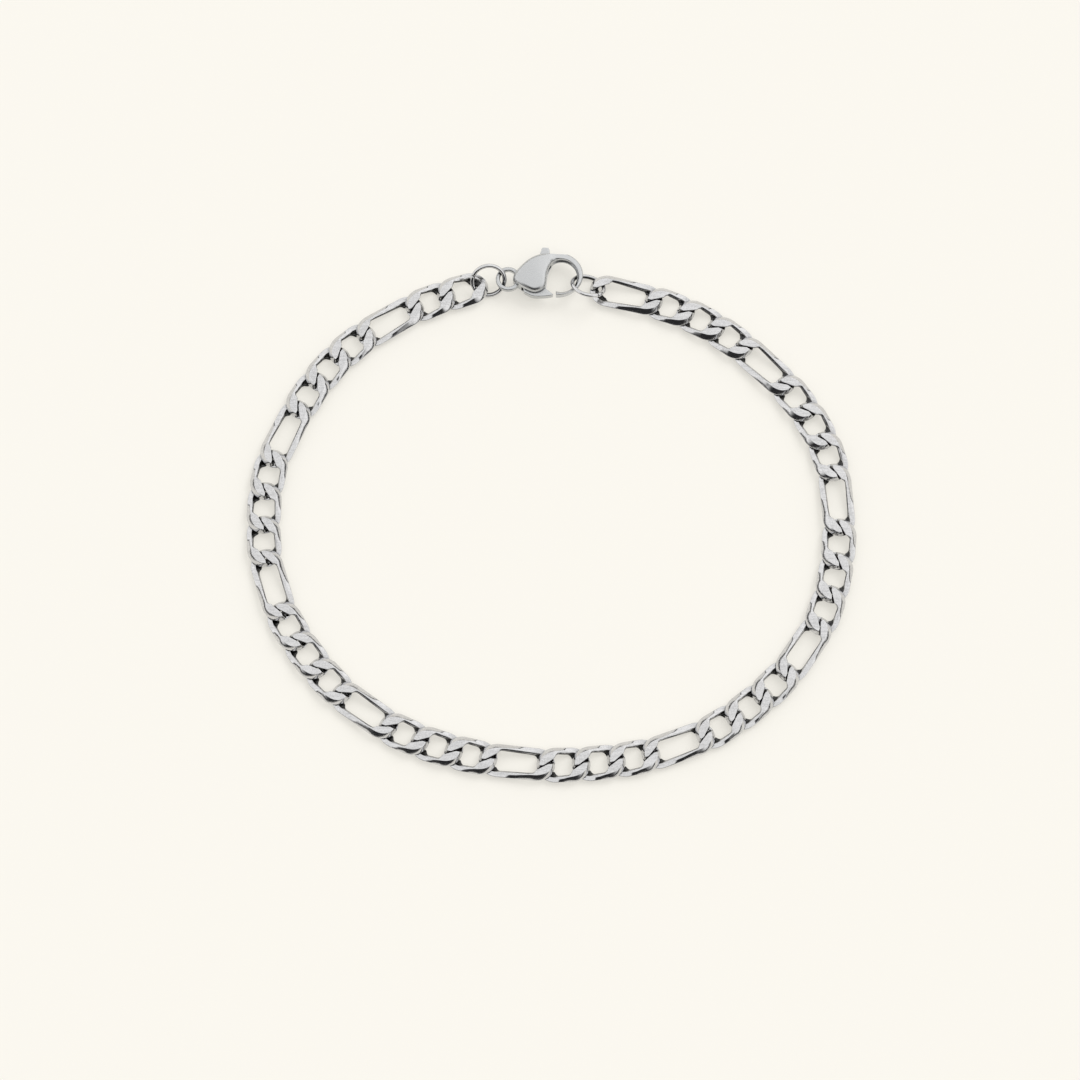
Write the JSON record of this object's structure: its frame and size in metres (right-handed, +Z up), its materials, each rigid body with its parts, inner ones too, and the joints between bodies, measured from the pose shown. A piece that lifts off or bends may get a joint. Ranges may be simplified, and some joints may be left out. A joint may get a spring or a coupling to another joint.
{
  "type": "link bracelet",
  "caption": "Flat figaro chain bracelet of polished steel, closed in a loop by two jump rings and a lobster clasp whose lever turns.",
  "frame": {"origin": "on the surface that the bracelet lies on, under the middle of its outline", "axes": "+X along the loop's longer width, to the right as the picture shows it; +Y towards the clasp; +Z up, through the loop"},
  "size_m": [0.072, 0.0649, 0.0033],
  "materials": {
    "link_steel": "polished",
    "ring_steel": "polished",
    "clasp_steel": "polished"
  },
  "bodies": {
    "bracelet": {"long_link_01": "link_steel", "long_link_02": "link_steel", "long_link_03": "link_steel", "long_link_04": "link_steel", "long_link_05": "link_steel", "long_link_06": "link_steel", "long_link_07": "link_steel", "long_link_08": "link_steel", "long_link_09": "link_steel", "long_link_10": "link_steel", "short_link_01": "link_steel", "short_link_02": "link_steel", "short_link_03": "link_steel", "short_link_04": "link_steel", "short_link_05": "link_steel", "short_link_06": "link_steel", "short_link_07": "link_steel", "short_link_08": "link_steel", "short_link_09": "link_steel", "short_link_10": "link_steel", "short_link_11": "link_steel", "short_link_12": "link_steel", "short_link_13": "link_steel", "short_link_14": "link_steel", "short_link_15": "link_steel", "short_link_16": "link_steel", "short_link_17": "link_steel", "short_link_18": "link_steel", "short_link_19": "link_steel", "short_link_20": "link_steel", "short_link_21": "link_steel", "short_link_22": "link_steel", "short_link_23": "link_steel", "short_link_24": "link_steel", "short_link_25": "link_steel", "short_link_26": "link_steel", "short_link_27": "link_steel", "short_link_28": "link_steel", "short_link_29": "link_steel", "jump_ring_left": "ring_steel", "jump_ring_right": "ring_steel", "clasp_body": "clasp_steel", "clasp_pin": "clasp_steel"},
    "lever": {"clasp_lever": "clasp_steel"}
  },
  "joints": [
    {"name": "lever_hinge", "type": "hinge", "parent": "bracelet", "child": "lever", "pos_m": [-0.00258, 0.02749, 0.0015], "axis": [0, 0, 1], "range_deg": [0, 24], "stiffness_Nm_per_rad": 0.004}
  ]
}
